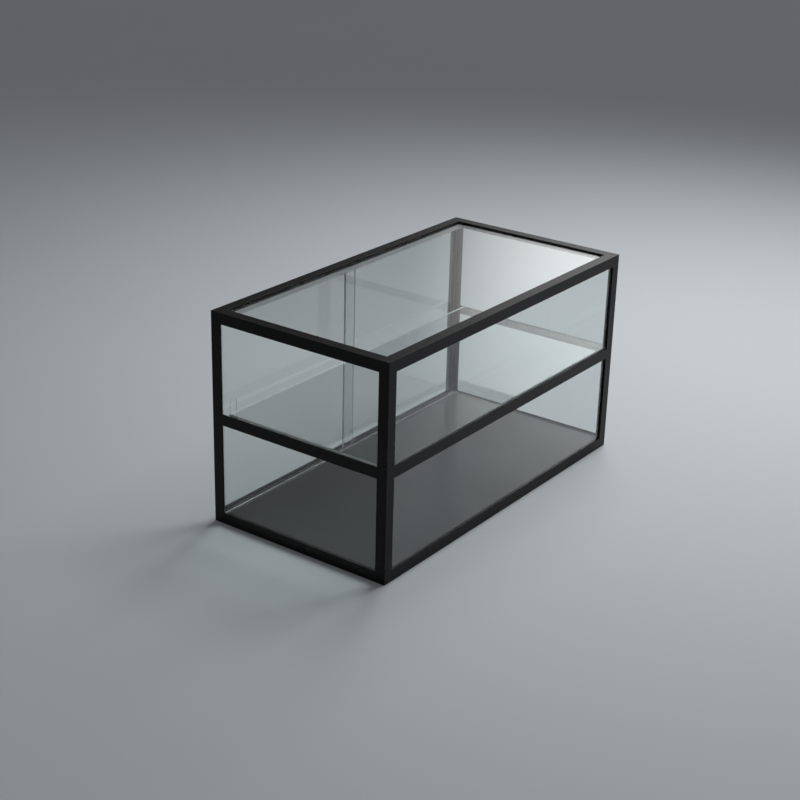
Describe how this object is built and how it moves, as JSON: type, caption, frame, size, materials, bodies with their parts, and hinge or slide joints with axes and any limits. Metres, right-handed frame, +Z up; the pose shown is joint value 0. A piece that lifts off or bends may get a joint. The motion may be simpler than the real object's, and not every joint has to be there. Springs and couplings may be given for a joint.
{
  "type": "display cabinet",
  "caption": "Low glass display cabinet with a black steel angle frame, a glass shelf at half height, a black base board and sliding glass doors at the back.",
  "frame": {"origin": "on the floor under the middle of the cabinet", "axes": "+X to the right along the front, +Y to the back with the doors, +Z up"},
  "size_m": [0.9, 0.465, 0.49],
  "materials": {
    "black_steel": "satin black paint",
    "clear_glass": "clear float glass with ground edges",
    "black_gasket": "matt",
    "clear_acrylic": "clear",
    "black_board": "black lacquer, half gloss",
    "anodised_aluminium": "natural anodised",
    "bonding_tape": "foam",
    "nylon": "black, moulded",
    "screw_steel": "zinc plated"
  },
  "bodies": {
    "cabinet": {"post_front_left": "black_steel", "post_front_right": "black_steel", "post_back_left": "black_steel", "post_back_right": "black_steel", "top_rail_front": "black_steel", "top_rail_right": "black_steel", "top_rail_back": "black_steel", "top_rail_left": "black_steel", "bottom_rail_front": "black_steel", "bottom_rail_right": "black_steel", "bottom_rail_back": "black_steel", "bottom_rail_left": "black_steel", "mid_rail_front": "black_steel", "mid_rail_left": "black_steel", "mid_rail_right": "black_steel", "pane_top": "clear_glass", "pane_front": "clear_glass", "pane_left": "clear_glass", "pane_right": "clear_glass", "shelf_glass": "clear_glass", "gasket_top": "black_gasket", "gasket_front": "black_gasket", "gasket_left": "black_gasket", "gasket_right": "black_gasket", "shelf_rest_front": "clear_acrylic", "shelf_rest_left": "clear_acrylic", "shelf_rest_right": "clear_acrylic", "base_board": "black_board", "upper_door_track": "anodised_aluminium", "lower_door_track": "anodised_aluminium", "upper_track_tape": "bonding_tape", "base_board_screws": "screw_steel", "lower_track_screws": "screw_steel"},
    "left_door": {"door_glass_left": "clear_glass", "door_shoes_left": "nylon", "door_guides_left": "nylon"},
    "right_door": {"door_glass_right": "clear_glass", "door_shoes_right": "nylon", "door_guides_right": "nylon"}
  },
  "joints": [
    {"name": "left_door_slide", "type": "slide", "parent": "cabinet", "child": "left_door", "axis": [1, 0, 0], "range_m": [0, 0.428]},
    {"name": "right_door_slide", "type": "slide", "parent": "cabinet", "child": "right_door", "axis": [-1, 0, 0], "range_m": [0, 0.428]}
  ]
}
